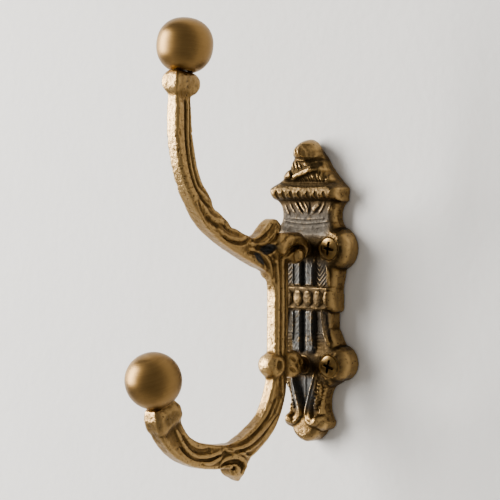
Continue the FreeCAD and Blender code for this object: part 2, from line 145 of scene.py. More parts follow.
def inside_out(u, v, outline):
    """Signed distance to a closed outline, negative inside."""
    d, _, _ = along(u, v, outline)
    inside = np.zeros(u.shape, bool)
    for (ax, ay), (bx, by) in zip(outline, outline[1:]):
        if ay != by:
            inside ^= ((ay > v) != (by > v)) & (u < (bx - ax) * (v - ay) / (by - ay) + ax)
    return np.where(inside, -d, d)


def stroke(u, v, points):
    """A bar with round ends along (u, v, radius) points."""
    line = curve(points)
    best = blank(u, 1e9)
    for (ax, ay, ar), (bx, by, br) in zip(line, line[1:]):
        dx, dy = bx - ax, by - ay
        t = np.clip(((u - ax) * dx + (v - ay) * dy) / max(dx * dx + dy * dy, 1e-9), 0, 1)
        best = np.minimum(best, np.hypot(u - ax - t * dx, v - ay - t * dy) - ar - t * (br - ar))
    return best


def raise_line(relief, u, v, points, width, height, taper=1.5):
    """Raises a rounded ridge along the points, or cuts a groove where the height is negative."""
    line = curve(points)
    part = window(u, v, line, 2 * width)
    if part is None:
        return
    d, place, run = along(u[part], v[part], line)
    ends = ramp(0, taper, place) * ramp(0, taper, run - place) if taper else 1.0
    shape = ease(np.clip(1 - (d / (width * (0.55 + 0.45 * ends))) ** 2, 0, 1))
    relief[part] += height * (shape * (0.35 + 0.65 * ends))


def raise_lines(relief, u, v, lines, wider=1.0, higher=1.0, taper=1.5):
    for width, height, points in lines:
        raise_line(relief, u, v, points, wider * width, higher * height, taper)


def hump(relief, u, v, centre, half_u, half_v, height, turn=0.0):
    """Raises an oval bump whose long axis is turned by some degrees."""
    c, s = math.cos(math.radians(turn)), math.sin(math.radians(turn))
    du, dv = u - centre[0], v - centre[1]
    r = ((c * du + s * dv) / half_u) ** 2 + ((c * dv - s * du) / half_v) ** 2
    relief += height * np.sqrt(np.clip(1 - r, 0, 1))


def grain(shape, step, size, seed):
    """Smooth seeded noise on a grid, about -1 to 1, with features of that size in millimetres."""
    rng = np.random.default_rng(seed)
    field = rng.uniform(-1, 1, [int(n * step / size) + 4 for n in shape]).astype(np.float32)
    for axis, n in enumerate(shape):
        at = np.arange(n) * step / size + 1
        low = at.astype(int)
        t = (at - low).astype(np.float32)
        t = ease(t).reshape([-1 if k == axis else 1 for k in range(len(shape))])
        field = np.take(field, low, axis) * (1 - t) + np.take(field, low + 1, axis) * t
    return field


# ---- meshes
def add_object(name, data):
    made = bpy.data.objects.new(name, data)
    scene.collection.objects.link(made)
    return made


def smoothed(points, edges, rounds):
    """Each point moved, again and again, to the mean of its neighbours."""
    count = np.bincount(edges.ravel(), minlength=len(points)).astype(float)
    result = points.copy()
    for _ in range(rounds):
        total = np.empty_like(result)
        for axis in range(3):
            one_way = np.bincount(edges[:, 0], result[edges[:, 1], axis], len(points))
            total[:, axis] = one_way + np.bincount(edges[:, 1], result[edges[:, 0], axis], len(points))
        result = total / count[:, None]
    return result


def places_of(mesh):
    """The mesh's points in millimetres, and its normals, a column each for X, Y and Z."""
    points, normals = np.empty((2, len(mesh.vertices) * 3))
    mesh.vertices.foreach_get("co", points)
    mesh.vertices.foreach_get("normal", normals)
    return points.reshape(-1, 3).T / MM, normals.reshape(-1, 3).T


def add_attribute(mesh, name, values):
    layer = mesh.attributes.new(name, "FLOAT", "POINT")
    layer.data.foreach_set("value", values.astype(np.float32))


OUTSIDE = 10.0
# Attribute, rounds of smoothing, and the millimetres of hollow that count as 1.
HOLLOWS = (("hollow_fine", 8, 0.13), ("hollow_broad", 60, 0.50))


def shade_facts(mesh):
    """Stores how hollow each point is, finely and broadly: above 0 in a crevice, below on a crest."""
    points, normals = (rows.T for rows in places_of(mesh))
    edges = np.empty(len(mesh.edges) * 2, int)
    mesh.edges.foreach_get("vertices", edges)
    edges = edges.reshape(-1, 2)
    for name, rounds, deep in HOLLOWS:
        drift = ((smoothed(points, edges, rounds) - points) * normals).sum(1) / deep
        add_attribute(mesh, name, np.clip(drift, -1.5, 1.5))


def mesh_of(name, field, values, to_frame, most_triangles=MOST_TRIANGLES):
    """A closed mesh of the field's zero surface. to_frame turns its millimetres into the row frame's."""
    grid = openvdb.FloatGrid(OUTSIDE)
    grid.copyFromArray(np.ascontiguousarray(values, dtype=np.float32))
    points, quads = grid.convertToQuads(0.0)
    points = to_frame(field.low + points * field.step) * MM
    corners = points[quads]
    across = np.cross(corners[:, 1] - corners[:, 0], corners[:, 2] - corners[:, 0])
    if (corners.mean(1) * across).sum() < 0:
        quads = quads[:, ::-1]
    mesh = bpy.data.meshes.new(name)
    mesh.from_pydata(points.tolist(), [], quads.tolist())
    mesh.shade_smooth()
    piece = add_object(name, mesh)
    if 2 * len(quads) > most_triangles:
        thin = piece.modifiers.new("thin", "DECIMATE")
        thin.ratio = most_triangles / (2 * len(quads))
        evaluated = piece.evaluated_get(bpy.context.evaluated_depsgraph_get())
        thinned = bpy.data.meshes.new_from_object(evaluated)
        piece.modifiers.clear()
        piece.data = thinned
        piece.data.name = name
        piece.data.shade_smooth()
    shade_facts(piece.data)
    return piece


def upright(points):
    """From (X, reach, Z) to (X, Y, Z)."""
    return points * (1, -1, 1)


def stand_for(piece, slot, *nodes):
    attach(piece, "root")
    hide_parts(*nodes)
    return piece


# ---- places read from the frame
def centre_of(node):
    low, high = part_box(node)
    return (low + high) / 2 / MM


def half_across(node):
    low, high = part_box(node)
    return (high.x - low.x) / 2 / MM


BALL_RADIUS = half_across("upper_ball")
NECK = 4.2
NECK_LONG = 0.3
# From a ball's centre to its collar's face.
BALL_SEAT = NECK_LONG + math.sqrt(BALL_RADIUS ** 2 - NECK ** 2)
STUD_RISE = 1.25         # from a collar's face out to the middle of its stud
STUD_TO_BALL = BALL_SEAT - STUD_RISE


def ball_seat(which):
    """The middle of a collar's face, and the way from there to its ball, as (reach, z) pairs."""
    ball, stud = centre_of(which + "_ball"), centre_of(which + "_ball_stud")
    lean = math.asin((stud.y - ball.y) / STUD_TO_BALL)
    axis = np.array([math.sin(lean), math.cos(lean)])
    return np.array([-stud.y, stud.z]) - STUD_RISE * axis, axis


PLATE_FACE = -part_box("backplate")[0].y / MM
SCREW_X = centre_of("wall_screw_upper_right").x
BOSS_Z = centre_of("arm_bolt_upper").z

# ---- hook casting
# Side view: bars of (reach, z, half-depth).
PEG_BAR = [
    (70.4, 75, 3.5), (70.6, 68, 3.5), (70.3, 60, 3.9), (68.5, 51, 4.1), (66, 44, 3.8), (62.5, 37.9, 3.6),
    (58, 32.5, 3.6), (53.2, 28.6, 3.5), (47.7, 25.3, 3.4), (43.2, 23.1, 3.4), (38, 21.2, 3.9),
    (32.2, 18.7, 3.9), (26.6, 15.2, 3), (22, 9, 2.6)
]
SPINE_AND_HOOK = [
    (20.9, 22.4, 3.5), (20.9, 15, 3.5), (20.9, 6, 3.5), (20.9, -4, 3.5), (21.1, -13, 3.4), (21.4, -22, 3.4),
    (23.2, -31, 3.9), (27.9, -39.5, 4.1), (35.6, -45.2, 4.2), (44, -48.5, 4), (51, -49.1, 4.1),
    (59.9, -48.1, 4.3), (66.4, -46.3, 4.3), (71.6, -43.4, 4.6), (75.4, -39.5, 5.1), (77.9, -35.4, 5.5),
    (79, -31.6, 5.5)
]
TIP_LEAF = [(34, 21.6, 3.6), (29.8, 23.8, 3.6), (27, 26.6, 3.2), (25.2, 28.6, 2.8), (23.6, 28.4, 2.2)]
LEAF_SCALLOPS = [
    [(61.8, 39.6, 2.9), (60, 37.2, 2.9)],
    [(54.8, 31.6, 2.6), (51.4, 29, 2.9)],
    [(45.5, 25.6, 2.6), (40.5, 23.4, 2.7)],
]
WEB = [(23.8, 21.4, 2.6), (29, 20.6, 2.6)]
UPPER_BOSS = [(14.2, 21, 5.6), (20.4, 22.2, 4.2)]
KNUCKLE = (23.8, -19.9)
LOWER_BOSS = (15.2, -19.9)
LOWER_COLLAR = [
    (76.3, -30.9), (81.9, -32.9), (82.1, -34), (81.3, -35.9), (80.4, -36.3), (77.9, -34.8), (75.1, -33.3),
    (74.5, -32.3), (75, -31.1), (76.3, -30.9)
]
SCROLL_DROP = [(40.4, -50.4, 2.4), (44.2, -52.4, 4), (43.6, -55, 2.7), (42.6, -57.6, 0.9)]

# Relief on both sides: (width, height, (reach, z) points).
ARM_RIDGES = [
    (1.8, 0.5, [(72.6, 71), (72.3, 60), (70.6, 51), (67.6, 43.4), (64.2, 37.8)]),
    (0.55, 0.5, [(69, 71), (69.1, 59.8), (67.8, 50.9), (65.4, 43.4), (63.2, 41.1), (60.4, 38.8),
     (58.8, 38.1)]),
    (1, 0.45, [(67.2, 70), (67.2, 59), (65.6, 50), (63.6, 45), (61.6, 41.6)]),
    (0.5, 0.45, [(65.3, 37.6), (64.3, 35.4), (63, 33.2), (60.4, 29.8), (57.4, 27.7), (53.6, 26.2)]),
    (0.9, 0.6, [(61.4, 35.8), (59, 33.1), (56.2, 31.6), (53, 31), (50.6, 29.9)]),
    (0.8, 0.65, [(53.9, 28.1), (51.3, 26.4), (48.5, 25.3), (43.8, 24.6), (40.9, 25.1), (38.4, 25.5)]),
    (0.8, 0.75, [(38.8, 23.1), (34.4, 22.4), (29.9, 23.3), (26.2, 25.6), (24.6, 28.8)]),
    (0.55, 0.55, [(30.4, 22.2), (27, 22.2), (24.2, 23.8), (23.2, 25.8), (23.8, 28)]),
    (0.7, 0.6, [(38.9, 21.4), (35, 20.7), (31.4, 19.5), (28.4, 17), (27, 13.7), (26.8, 10), (25.2, 6.4)]),
    (0.9, 0.45, [(39.6, 18.6), (37.2, 17.7), (34, 16.2), (31.2, 14.2)]),
    (0.9, 0.42, [(20.9, -32), (21, -22), (20.8, -12), (20.7, 0), (20.8, 12), (20.7, 16.9), (19.9, 18.9),
     (18.1, 20.1), (16.4, 21.1)]),
    (0.8, 0.38, [(23.6, -27), (23.3, -14), (23.1, 0), (23.2, 8), (23.6, 13), (24.2, 17.8), (23.8, 20.1),
     (22.8, 22.3), (21.2, 23.8)]),
    (0.8, 0.7, [(21.4, -31), (25.4, -37.4), (31.1, -41.5), (34.8, -43.6), (38.7, -45.6), (42.9, -46.5),
     (47.8, -46.8), (52.3, -46.4)]),
    (0.9, 0.8, [(75.6, -37.2), (73, -41), (70.6, -44), (67.8, -46.3), (64.7, -47.6), (60.7, -48),
     (56, -47.7), (52.4, -46.7)]),
    (0.7, 0.55, [(52.6, -48.8), (55.6, -50), (59.1, -50.5), (62.5, -49.6)]),
    (0.9, 0.9, [(53.6, -52.6), (52.8, -50.9), (50.3, -49.7), (46.4, -49.4), (43.2, -50.5), (41.5, -52.4),
     (41.4, -54.8)]),
    (0.7, 0.6, [(51.2, -46.8), (47.4, -48), (43.6, -48.4), (39.6, -50)]),
    (0.6, 0.45, [(43.4, -48.4), (39.4, -47.9), (35.6, -46.6), (31.8, -44.6)]),
]
ARM_GROOVES = [
    (0.6, 0.6, [(70.2, 72), (70.1, 59.8), (69, 50.9), (66.5, 43.6), (63.8, 39.8), (60.9, 37.2),
     (58.4, 35.6)]),
    (0.5, 0.45, [(68.2, 72), (68.2, 59.8), (66.9, 50.9), (64.6, 44.3), (62.4, 41.9), (60, 39.9)]),
    (0.5, 0.4, [(64.3, 38.4), (63.2, 35.8), (61.8, 33.7), (59.3, 30.8), (56.4, 28.8)]),
    (0.8, 0.7, [(60.6, 33.6), (58.6, 31.4), (56.2, 29.9), (53.6, 28.9)]),
    (0.6, 0.45, [(52.4, 29.6), (49, 27.6), (45.6, 26.6), (43, 26)]),
    (0.7, 0.7, [(52.8, 26.3), (48.5, 24.3), (44.7, 23.4), (41.8, 23.3), (39.2, 24.3)]),
    (0.8, 0.85, [(37.4, 24.1), (33.7, 24.2), (30.7, 25.3), (28.6, 26.6)]),
    (0.5, 0.5, [(29.4, 23.6), (27.4, 24.4), (25.6, 26.2)]),
    (1.1, 0.9, [(36.6, 21.9), (31, 21.1), (27.2, 20.6), (25.4, 20.8)]),
    (0.6, 0.65, [(39.4, 19.9), (36.9, 19.8), (34.2, 19), (31.4, 17.5), (29, 15), (28.4, 12)]),
    (1.3, 0.7, [(25.6, 16.5), (25.2, 12), (24.6, 8)]),
    (0.6, 0.34, [(22.4, -28), (22.2, -14), (21.9, 0), (22, 11), (22.2, 16), (21.5, 18), (19.5, 19.6),
     (17.4, 21)]),
    (0.7, 0.8, [(24.4, -31), (28.3, -37), (31.8, -39.9), (35.5, -42.2), (39.5, -44.2), (43.5, -45.1),
     (48.6, -45.5)]),
    (0.6, 0.6, [(24, -37), (30.4, -43), (34.5, -45.4), (38.2, -46.9), (42.7, -47.6), (47.6, -47.7)]),
    (0.9, 0.8, [(72.6, -39.4), (69.8, -42.7), (67.1, -44.7), (64, -45.9), (61.2, -46.1), (57.4, -45.8)]),
    (0.6, 0.65, [(73.4, -43.2), (70.2, -46), (67.1, -47.8), (63.1, -49), (58.7, -49.2), (53.7, -48.2)]),
    (0.8, 1, [(54.2, -52.2), (51.4, -51.3), (48, -51), (44.8, -51.6), (43.2, -53), (43.4, -55.2)]),
    (0.6, 0.5, [(41, -48.9), (38.2, -49.2), (36, -48.4)]),
]
# Bumps and dimples: centre, half sizes, height and turn.
ARM_BLOBS = [
    ((49.2, -52.6), 1.5, 1, 0.6, 10), ((45.2, -54), 1.3, 1.5, 0.5, -30), ((47.2, -53.4), 0.8, 0.8, -1, 0),
    ((57.4, 29.4), 2.4, 0.9, 0.3, 40), ((31, 28.6), 4.4, 2, 0.5, -18), ((28.4, 20.9), 3.6, 1.9, -1, -8)
]
# Dark patches: centre, half sizes, turn, and how dark and how silvery they are.
ARM_DARK_PATCHES = [
    ((28.8, 20.9), 4.4, 1.8, -8, 1.6, 1.2), ((33.4, 17.8), 3.4, 1.4, 35, 1.6, 1.2),
    ((79, -34), 10, 8, 0, 0.45, 0), ((70.4, 79.5), 9, 6.5, 0, 0.45, 0)
]
KNUCKLE_EYE = [
    (27, -21.5), (26.6, -18.9), (25.2, -17.4), (23, -17.6), (22.5, -20.3), (23.6, -22.3), (25.3, -23.2)
]
ROSETTE = [
    ((17.4, -17.8), 1.5, 0.7), ((13.6, -19), 1.2, 0.9), ((17.6, -21.6), 1.7, 0.8), ((15.4, -20.3), 0.7, 0.5)
]
WORN = 0.72              # the share of the relief that years of polishing have left
ARM_HALF = 2.45
BOSS_HALF = 3.9
BOSS_BAND = [(25.6, 12), (24.9, 17.2), (22, 21.2), (18, 23.6), (14, 23.8), (10.8, 21.6), (10, 18.4)]
BOSS_SINK = [(22.3, 14.6), (21.3, 17.8), (19, 19.9), (16.4, 20.9), (13.2, 20.9), (11.4, 18.8), (11.8, 16.2)]
KNUCKLE_HALF = 4.1
KNUCKLE_RADIUS = 4.5
ROSETTE_HALF = 4.6
ROSETTE_RADIUS = 5.0
FOOT_RADIUS = 3.2        # of the round foot between each boss and the plate
FOOT_END = 13
COLLAR_HALF = 4.1
COLLAR_ROUND = 2.3
COLLAR_SWELL = 2.4       # how far the lower collar stands out from its outline
PEG_COLLAR = (3.85, 5.85, 7.8, 1.6)      # half across X, half deep, long, and the bulge of its sides
STUD_HOLE = 2.0
STUD_HOLE_DEEP = 6
ARM_BOLT_HOLE = 2.0
ARM_BOLT_DEEP = 8.6
CHIP_DEEP = 0.22         # of the casting pits along the peg's edges


def arm_thickness(reach, z):
    """Half the casting's thickness across X at each place in the side view."""
    relief = blank(reach)
    raise_lines(relief, reach, z, ARM_RIDGES, 1.25, WORN)
    raise_lines(relief, reach, z, ARM_GROOVES, 1.15, -WORN)
    for blob in ARM_BLOBS:
        hump(relief, reach, z, *blob)
    plain = ARM_HALF + 0.35 * ramp(30, 36, reach) * ramp(50, 40, z)
    plain += 0.4 * ramp(7, 3, np.hypot(reach - 45, z + 52.4))
    plain -= 1.1 * ramp(-55.5, -58, z)
    return np.maximum(plain + relief, 0.8)


def puck(side, reach, z, centre, radius, thickness):
    """A rounded disc whose flat faces look along X."""
    rim = np.hypot(reach - centre[0], z - centre[1]) - radius
    return smooth_max(side - thickness[None], rim[None], 3.6)


def ball_at(field, x, reach, z, radius):
    return np.sqrt((field.a - x) ** 2 + (field.b - reach) ** 2 + (field.c - z) ** 2) - radius


def rod_along(field, start, axis, length, radius):
    """A round rod in the plane X = 0 from a (reach, z) start."""
    run = (field.b - start[0]) * axis[0] + (field.c - start[1]) * axis[1]
    off = (field.b - start[0]) * axis[1] - (field.c - start[1]) * axis[0]
    return np.maximum(np.hypot(field.a, off) - radius, np.abs(run - length / 2) - length / 2)


def collar_block(field, seat, axis, half_x, half_deep, length, bulge):
    """A block below a ball whose sides bulge like a barrel's."""
    run = (seat[0] - field.b) * axis[0] + (seat[1] - field.c) * axis[1]
    off = np.abs((field.b - seat[0]) * axis[1] - (field.c - seat[1]) * axis[0])
    up = np.abs(run - length / 2)
    tuck = bulge * (2 * up / length) ** 2.4
    sides = smooth_max(np.abs(field.a) - half_x + tuck, off - half_deep + tuck, 1.2)
    return smooth_max(0.85 * sides, up - length / 2, 1.0)


def with_bosses(body, field, reach, z):
    """Adds the curled upper boss, the flower-like lower one, the ringed knuckle and both feet."""
    side = np.abs(field.a)
    half = blank(reach, BOSS_HALF)
    raise_line(half, reach, z, BOSS_BAND, 2.5, 1.0, taper=2)
    raise_line(half, reach, z, BOSS_SINK, 1.3, -1.5, taper=1)
    boss = smooth_max(side - half[None], stroke(reach, z, UPPER_BOSS)[None], 1.8)
    body = smooth_min(body, boss, 0.9)
    for x in (-3.3, 3.3):
        body = smooth_min(body, ball_at(field, x, 14.2, 18.4, 2.6), 0.3)
    half = blank(reach, ROSETTE_HALF)
    for petal in ROSETTE:
        hump(half, reach, z, *petal, -0.5, 35)
    body = smooth_min(body, puck(side, reach, z, LOWER_BOSS, ROSETTE_RADIUS, half), 0.6)
    half = blank(reach, KNUCKLE_HALF)
    raise_line(half, reach, z, KNUCKLE_EYE, 1.2, 0.35)
    hump(half, reach, z, (24.7, -19.4), 1.2, 1.9, -0.4)
    body = smooth_min(body, puck(side, reach, z, KNUCKLE, KNUCKLE_RADIUS, half), 0.9)
    for level in (BOSS_Z, -BOSS_Z):
        foot = np.maximum(np.hypot(field.a, field.c - level) - FOOT_RADIUS, field.b - FOOT_END)
        body = smooth_min(body, foot, 1.2)
    return body


def with_collars(body, field, reach, z):
    """Adds a collar below each ball, cut flat where the ball sits and bored for its stud."""
    wedge = inside_out(reach, z, np.array(LOWER_COLLAR))[None] - COLLAR_SWELL
    body = smooth_min(body, round_corner(wedge, np.abs(field.a) - COLLAR_HALF, COLLAR_ROUND), 1.2)
    body = smooth_min(body, collar_block(field, *ball_seat("upper"), *PEG_COLLAR), 1.2)
    for which in BALL_SHAPES:
        seat, axis = ball_seat(which)
        over = (field.b - seat[0]) * axis[0] + (field.c - seat[1]) * axis[1]
        body = np.maximum(body, -np.maximum(-over, ball_at(field, 0, *seat, 8)))
        bore = rod_along(field, seat - STUD_HOLE_DEEP * axis, axis, STUD_HOLE_DEEP + 1, STUD_HOLE)
        body = np.maximum(body, -bore)
    return body


def with_bolt_holes(body, field):
    for level in (BOSS_Z, -BOSS_Z):
        far = np.hypot(field.a, field.c - level) - ARM_BOLT_HOLE
        body = np.maximum(body, -np.maximum(far, field.b - PLATE_FACE - ARM_BOLT_DEEP))
    return np.maximum(body, PLATE_FACE - field.b)


def arm_wear(mesh):
    """Stores where the arm is lighter, partly rubbed and partly painted light, where it is darker, and
    where it is silvery.
    """
    (_, depth, up), normals = places_of(mesh)
    # Faces that look out from the wall get lighter brass, partly as rubbed polish and partly as painted
    # light, less so on the hook's bottom.
    front = ramp(0.55, 0.9, -normals[1]) * (1 - 0.7 * ramp(-21, -30, up))
    # The spine gets lighter brass as painted fill light.
    spine = ramp(-20, -12, up) * ramp(14, 8, up) * ramp(28, 25, -depth)
    add_attribute(mesh, "rubbed_and_lit", np.maximum(front, 0.9 * spine))
    # Darker and silvery patches where the table puts them.
    darkened, silver = blank(depth), blank(depth)
    for centre, half_u, half_v, turn, dark, silvery in ARM_DARK_PATCHES:
        hump(darkened, -depth, up, centre, half_u, half_v, dark, turn)
        hump(silver, -depth, up, centre, half_u, half_v, silvery, turn)
    add_attribute(mesh, "darkened", np.clip(darkened, 0, 1))
    add_attribute(mesh, "silver", np.clip(silver, 0, 0.9))


def make_arm():
    field = Field((-6.0, 5.6, -60.2), (6.0, 88.4, 84.0), GRID)
    reach, z = plane(field.b, field.c)
    side = np.abs(field.a)

    profile = stroke(reach, z, PEG_BAR)
    for bar in [SPINE_AND_HOOK, TIP_LEAF, WEB, SCROLL_DROP, *LEAF_SCALLOPS]:
        profile = smooth_min(profile, stroke(reach, z, bar), 1.5)
    body = smooth_max(side - arm_thickness(reach, z)[None], profile[None], 1.3)
    body = with_bosses(body, field, reach, z)
    body = with_collars(body, field, reach, z)
    body = with_bolt_holes(body, field)

    chips = ramp(0.15, 0.60, grain(body.shape, field.step, 0.9, SEED + 4))
    pitted = ramp(-2.0, -0.9, profile) * ramp(30, 44, z) * ramp(66, 60, z)
    body += CHIP_DEEP * chips * ramp(1.3, 2.2, side) * pitted[None]
    body += 0.05 * grain(body.shape, field.step, 1.6, SEED)
    body += 0.03 * grain(body.shape, field.step, 0.6, SEED + 1)
    arm = mesh_of("hook_casting", field, body, upright)
    arm_wear(arm.data)
    return stand_for(arm, "antique_brass", "hook_arm")


# ---- backplate
# Right half of the outline, from the bottom up: (x, z), and a point on the arc that leads there.
PLATE_SIDE = [
    ((0, -48.5), None), ((6, -44.2), (3.3, -47.3)), ((9.6, -41), (8.4, -43.3)), ((9.4, -28.6), (7.4, -35)),
    ((13.6, -26.2), None), ((14.2, -13.4), (19.4, -20.75)), ((11, -7.6), None), ((11.1, -2), None),
    ((12.9, -0.6), (12.4, -1.6)), ((12.9, 6.6), None), ((14.2, 13.4), None), ((13.8, 28.2), (19.4, 20.75)),
    ((15.2, 37.6), (12.2, 32.2)), ((15.6, 42), None), ((7.8, 49.8), (11.2, 46)), ((4.9, 55), (6.2, 52.5)),
    ((0, 59.4), (3.1, 58.1))
]
ARC_STEPS = 10


def arc_points(a, middle, b):
    """Points after a, up to b, on the circle through all three."""
    ax, ay, bx, by, cx, cy = *a, *middle, *b
    d = 2 * (ax * (by - cy) + bx * (cy - ay) + cx * (ay - by))
    square_a, square_b, square_c = ax * ax + ay * ay, bx * bx + by * by, cx * cx + cy * cy
    ux = (square_a * (by - cy) + square_b * (cy - ay) + square_c * (ay - by)) / d
    uy = (square_a * (cx - bx) + square_b * (ax - cx) + square_c * (bx - ax)) / d
    start, turn = math.atan2(ay - uy, ax - ux), 0.0
    for p, q in (((ax, ay), (bx, by)), ((bx, by), (cx, cy))):
        step = math.atan2(q[1] - uy, q[0] - ux) - math.atan2(p[1] - uy, p[0] - ux)
        turn += (step + math.pi) % (2 * math.pi) - math.pi
    radius = math.hypot(ax - ux, ay - uy)
    angles = start + turn * np.arange(1, ARC_STEPS + 1) / ARC_STEPS
    return [(ux + radius * math.cos(t), uy + radius * math.sin(t)) for t in angles]


def plate_outline():
    right = [PLATE_SIDE[0][0]]
    for point, via in PLATE_SIDE[1:]:
        right += arc_points(right[-1], via, point) if via else [point]
    left = [(-x, z) for x, z in reversed(right[1:-1])]
    return np.array(right + left + right[:1])


PLATE_PLAIN = 6.9        # how far the plain parts of the front stand out from the wall
NECK_SUNK = 1.1
PANEL_SUNK = 0.5
STRIP_HIGH = 0.8
CHANNEL_SUNK = 0.7
VALLEY_SUNK = 1.0
OVALS = (-11.4, -6.9, -2.3, 2.3, 6.9, 11.4)
OVAL_HALF = (2.3, 2.9)
ROLL_Z = 40.7
ROLL_HALF = 3.2
ROLL_HIGH = 2.2
NOTCHES = (-11.2, -8.0, -4.4, -0.6, 3.4, 7.0, 10.8)
BEAD_ROWS = 9
SCREW_SEAT = (4.1, 5.4)  # radius of the flat, and how wide the slope round it is
BOSS_SEAT = (3.0, 1.0)
SCREW_HOLE = 2.2
COUNTERSINK = 4.05
BOLT_HOLE = 2.15
BOLT_HEAD_HOLE = 4.5
BOLT_HEAD_DEEP = 3.8
# Hollows in the back: lowest and highest z, and half their width.
BACK_HOLLOWS = ((29.5, 44, 9.5), (-12, 12, 7.4), (-40.5, -29.5, 4.4))
HOLLOW_DEEP = 3.4

# Relief on both halves of the plate: (width, height, (x, z) points).
PLATE_LINES = [
    # edges of the strips beside the channel, and ribs beyond the panels
    (0.6, 0.6, [(4.5, 7.6), (4.6, 12), (4.9, 15.6), (5.8, 18)]),
    (0.6, 0.6, [(4.3, -1.4), (4.3, -7), (4.8, -12), (5.4, -15.6)]),
    (0.6, 0.7, [(11.4, 7.6), (11.2, 12.4), (10.4, 15.6)]),
    (0.6, 0.8, [(8.3, -1.2), (8.8, -6), (10, -10), (12, -13.6)]),
    (0.6, 0.45, [(10.6, -1.6), (11.2, -7.4), (13, -12.2)]),
    (0.4, -0.35, [(9.7, -2.4), (10, -7), (11.6, -12)]),
    # rings between the neck and the upper lobes
    (0.8, 0.32, [(-0.6, 28), (5, 28.3), (9.6, 29)]),
    (0.7, 0.28, [(-0.6, 29.6), (4, 29.8), (10.6, 30.5)]),
    (0.7, 0.24, [(-0.6, 31.1), (3, 31.2), (8.8, 31.6)]),
    # two teardrop loops at the foot, and the spine between them
    (2, 1.3, [(13, -24.6), (9.6, -23.6), (6.9, -22.6), (5.5, -26.3), (3.7, -31.5), (2.3, -35.5), (2.1, -38),
     (3.2, -40.2), (4.9, -40.9), (6.4, -39.8), (6.8, -37.8)]),
    (0.7, 0.6, [(12.2, -25.6), (9.6, -30), (7.8, -35), (7, -38.4)]),
    (0.5, 0.3, [(0, -24), (0, -33)]),
]
NECK_FRONDS = [
    (0.6, 0.6, [(-3, 37.9), (-1.8, 35.6), (0.4, 33.3)]),
    (0.5, 0.5, [(-5.2, 37.4), (-3.4, 35), (-1.6, 32.8)]),
    (0.5, 0.5, [(-1, 37.6), (0.6, 35), (1, 32.6)]),
    (1.1, 0.8, [(3.2, 33.4), (4.8, 35.4), (6.9, 37.2)]),
    (0.7, 0.6, [(11.2, 35.8), (10.4, 33.4)]),
    (0.5, 0.45, [(9, 37.4), (7.6, 35), (5.8, 32.8)]),
    (0.5, 0.45, [(-7.6, 37), (-6.2, 34.6), (-4.4, 32.6)]),
    (0.5, 0.45, [(-9.8, 36.4), (-8.6, 34), (-7.4, 32.2)]),
    (0.5, -0.5, [(1.8, 37.8), (2.2, 35.4), (1.9, 33)]),
    (0.5, -0.5, [(-4, 37.6), (-2.6, 35.2), (-0.8, 33)]),
]


def upper_shaft(x, z):
    """Herringbone panels on the outer part of the shaft."""
    side = np.abs(x)
    here = ramp(7.0, 7.6, z) * ramp(18.6, 16.6, z)
    panel = ramp(5.1, 5.7, side) * ramp(11.2, 10.4, side) * here
    slant = np.where(side < 7.2, 1.1, -1.1)
    stroke_at = (z + slant * (side - 7.2)) / 1.7
    return panel * (-PANEL_SUNK + 0.35 * np.abs(np.sin(math.pi * stroke_at)) ** 1.5)


def lower_shaft(x, z):
    """Sunk panels with short cross ticks."""
    side = np.abs(x)
    here = ramp(-1.0, -1.6, z) * ramp(-17.4, -15.6, z)
    panel = ramp(4.7, 5.2, side) * ramp(8.2 - 0.15 * z, 7.4 - 0.15 * z, side) * here
    ticks = np.abs(np.sin(math.pi * z / 1.25)) ** 2 * ramp(-7.5, -9, z)
    return panel * (-PANEL_SUNK + 0.2 * ticks)


def channel(x, z):
    """A narrow channel between two raised strips, and the valley it ends in between the loops."""
    side = np.abs(x)
    here = ramp(7.0, 7.8, z) * ramp(17.4, 15.2, z)
    here = here + ramp(-1.0, -1.8, z) * ramp(-17.4, -15.2, z)
    zigzag = 0.10 * np.abs(np.sin(math.pi * (z + 1.3 * side) / 1.9)) ** 1.5
    strips = ramp(0.9, 1.6, side) * ramp(5.0, 4.3, side) * (STRIP_HIGH - zigzag)
    half = np.clip(1.7 + 0.33 * (z + 35.5), 0.01, 5)
    valley = ramp(-23.6, -24.6, z) * ramp(half, 0.45 * half, side) * ramp(-39, -37, z)
    return here * (strips - CHANNEL_SUNK * ramp(1.5, 0.8, side)) - VALLEY_SUNK * valley


def band(x, z):
    """Upright ovals across the waist, under a plain rolled edge and over a bead line."""
    relief = blank(x)
    here = ramp(-1.2, -0.5, z) * ramp(7.3, 6.6, z)
    for middle in OVALS:
        hump(relief, x, z, (middle, 3.0), *OVAL_HALF, 0.9)
    raise_line(relief, x, z, [(-13, 6.2), (13, 6.2)], 1.8, 0.3, taper=0)
    raise_line(relief, x, z, [(-13, -0.3), (13, -0.3)], 1.1, 0.2, taper=0)
    return here * (relief + 0.2)


def collar(x, z):
    """A rolled band under the finial, notched along its lower half."""
    roll = np.clip(1 - ((z - ROLL_Z) / ROLL_HALF) ** 2, 0, 1) ** 0.75
    notches = blank(x)
    for middle in NOTCHES:
        hump(notches, x, z, (middle, 39.6), 0.9, 1.5, 0.4)
    return ROLL_HIGH * roll - notches


